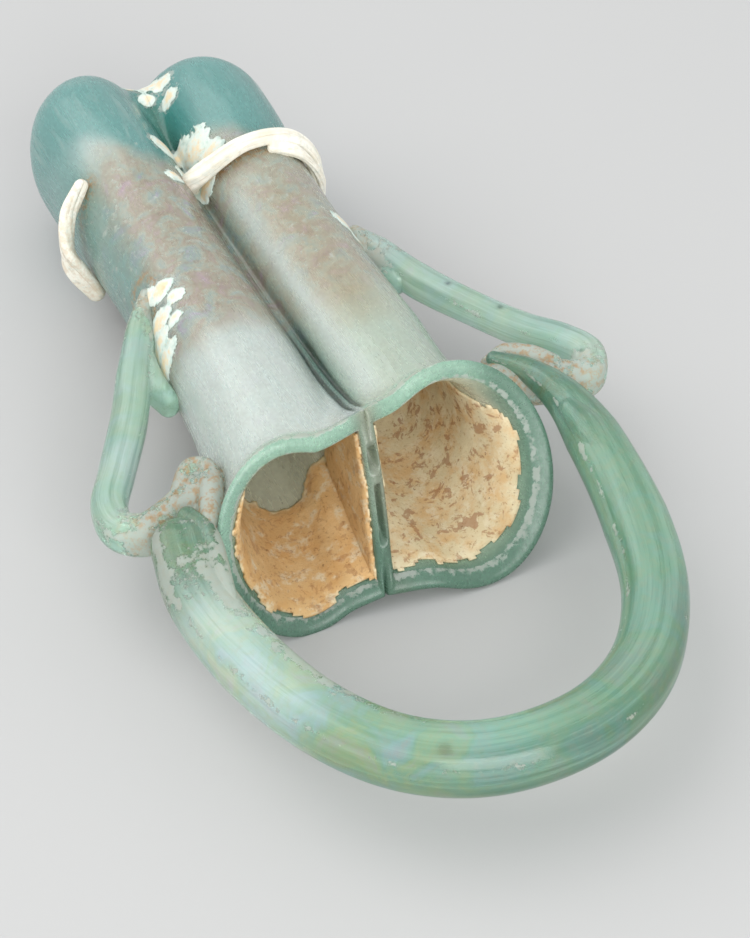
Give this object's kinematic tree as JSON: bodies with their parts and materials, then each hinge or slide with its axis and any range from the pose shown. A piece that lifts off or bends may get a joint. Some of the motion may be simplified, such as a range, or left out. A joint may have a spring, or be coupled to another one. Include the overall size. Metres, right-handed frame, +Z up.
{
  "type": "roman double glass unguentarium",
  "caption": "Ancient double cosmetic tube of pale green glass lying on its back, with a divided flared mouth, side handles, a tall basket handle and thread trails.",
  "frame": {"origin": "on the ground under the middle of the vessel's bounding box, as it lies", "axes": "+Y along the tubes from mouth to rounded bottoms, +X to the right of someone looking into the mouth, +Z up"},
  "size_m": [0.0906, 0.1704, 0.0336],
  "materials": {
    "vessel_glass": "thin pale blue-green glass, weathered and iridescent, with dried soil inside",
    "handle_glass": "thicker translucent green glass with drawn striations and a flaking iridescent skin",
    "thread_glass": "trailed thread, weathered cream white and fibrous"
  },
  "bodies": {
    "root": {"body": "vessel_glass", "side_handle_left": "handle_glass", "side_handle_right": "handle_glass", "basket_handle": "handle_glass", "thread_right": "thread_glass", "thread_left": "thread_glass"}
  },
  "joints": []
}
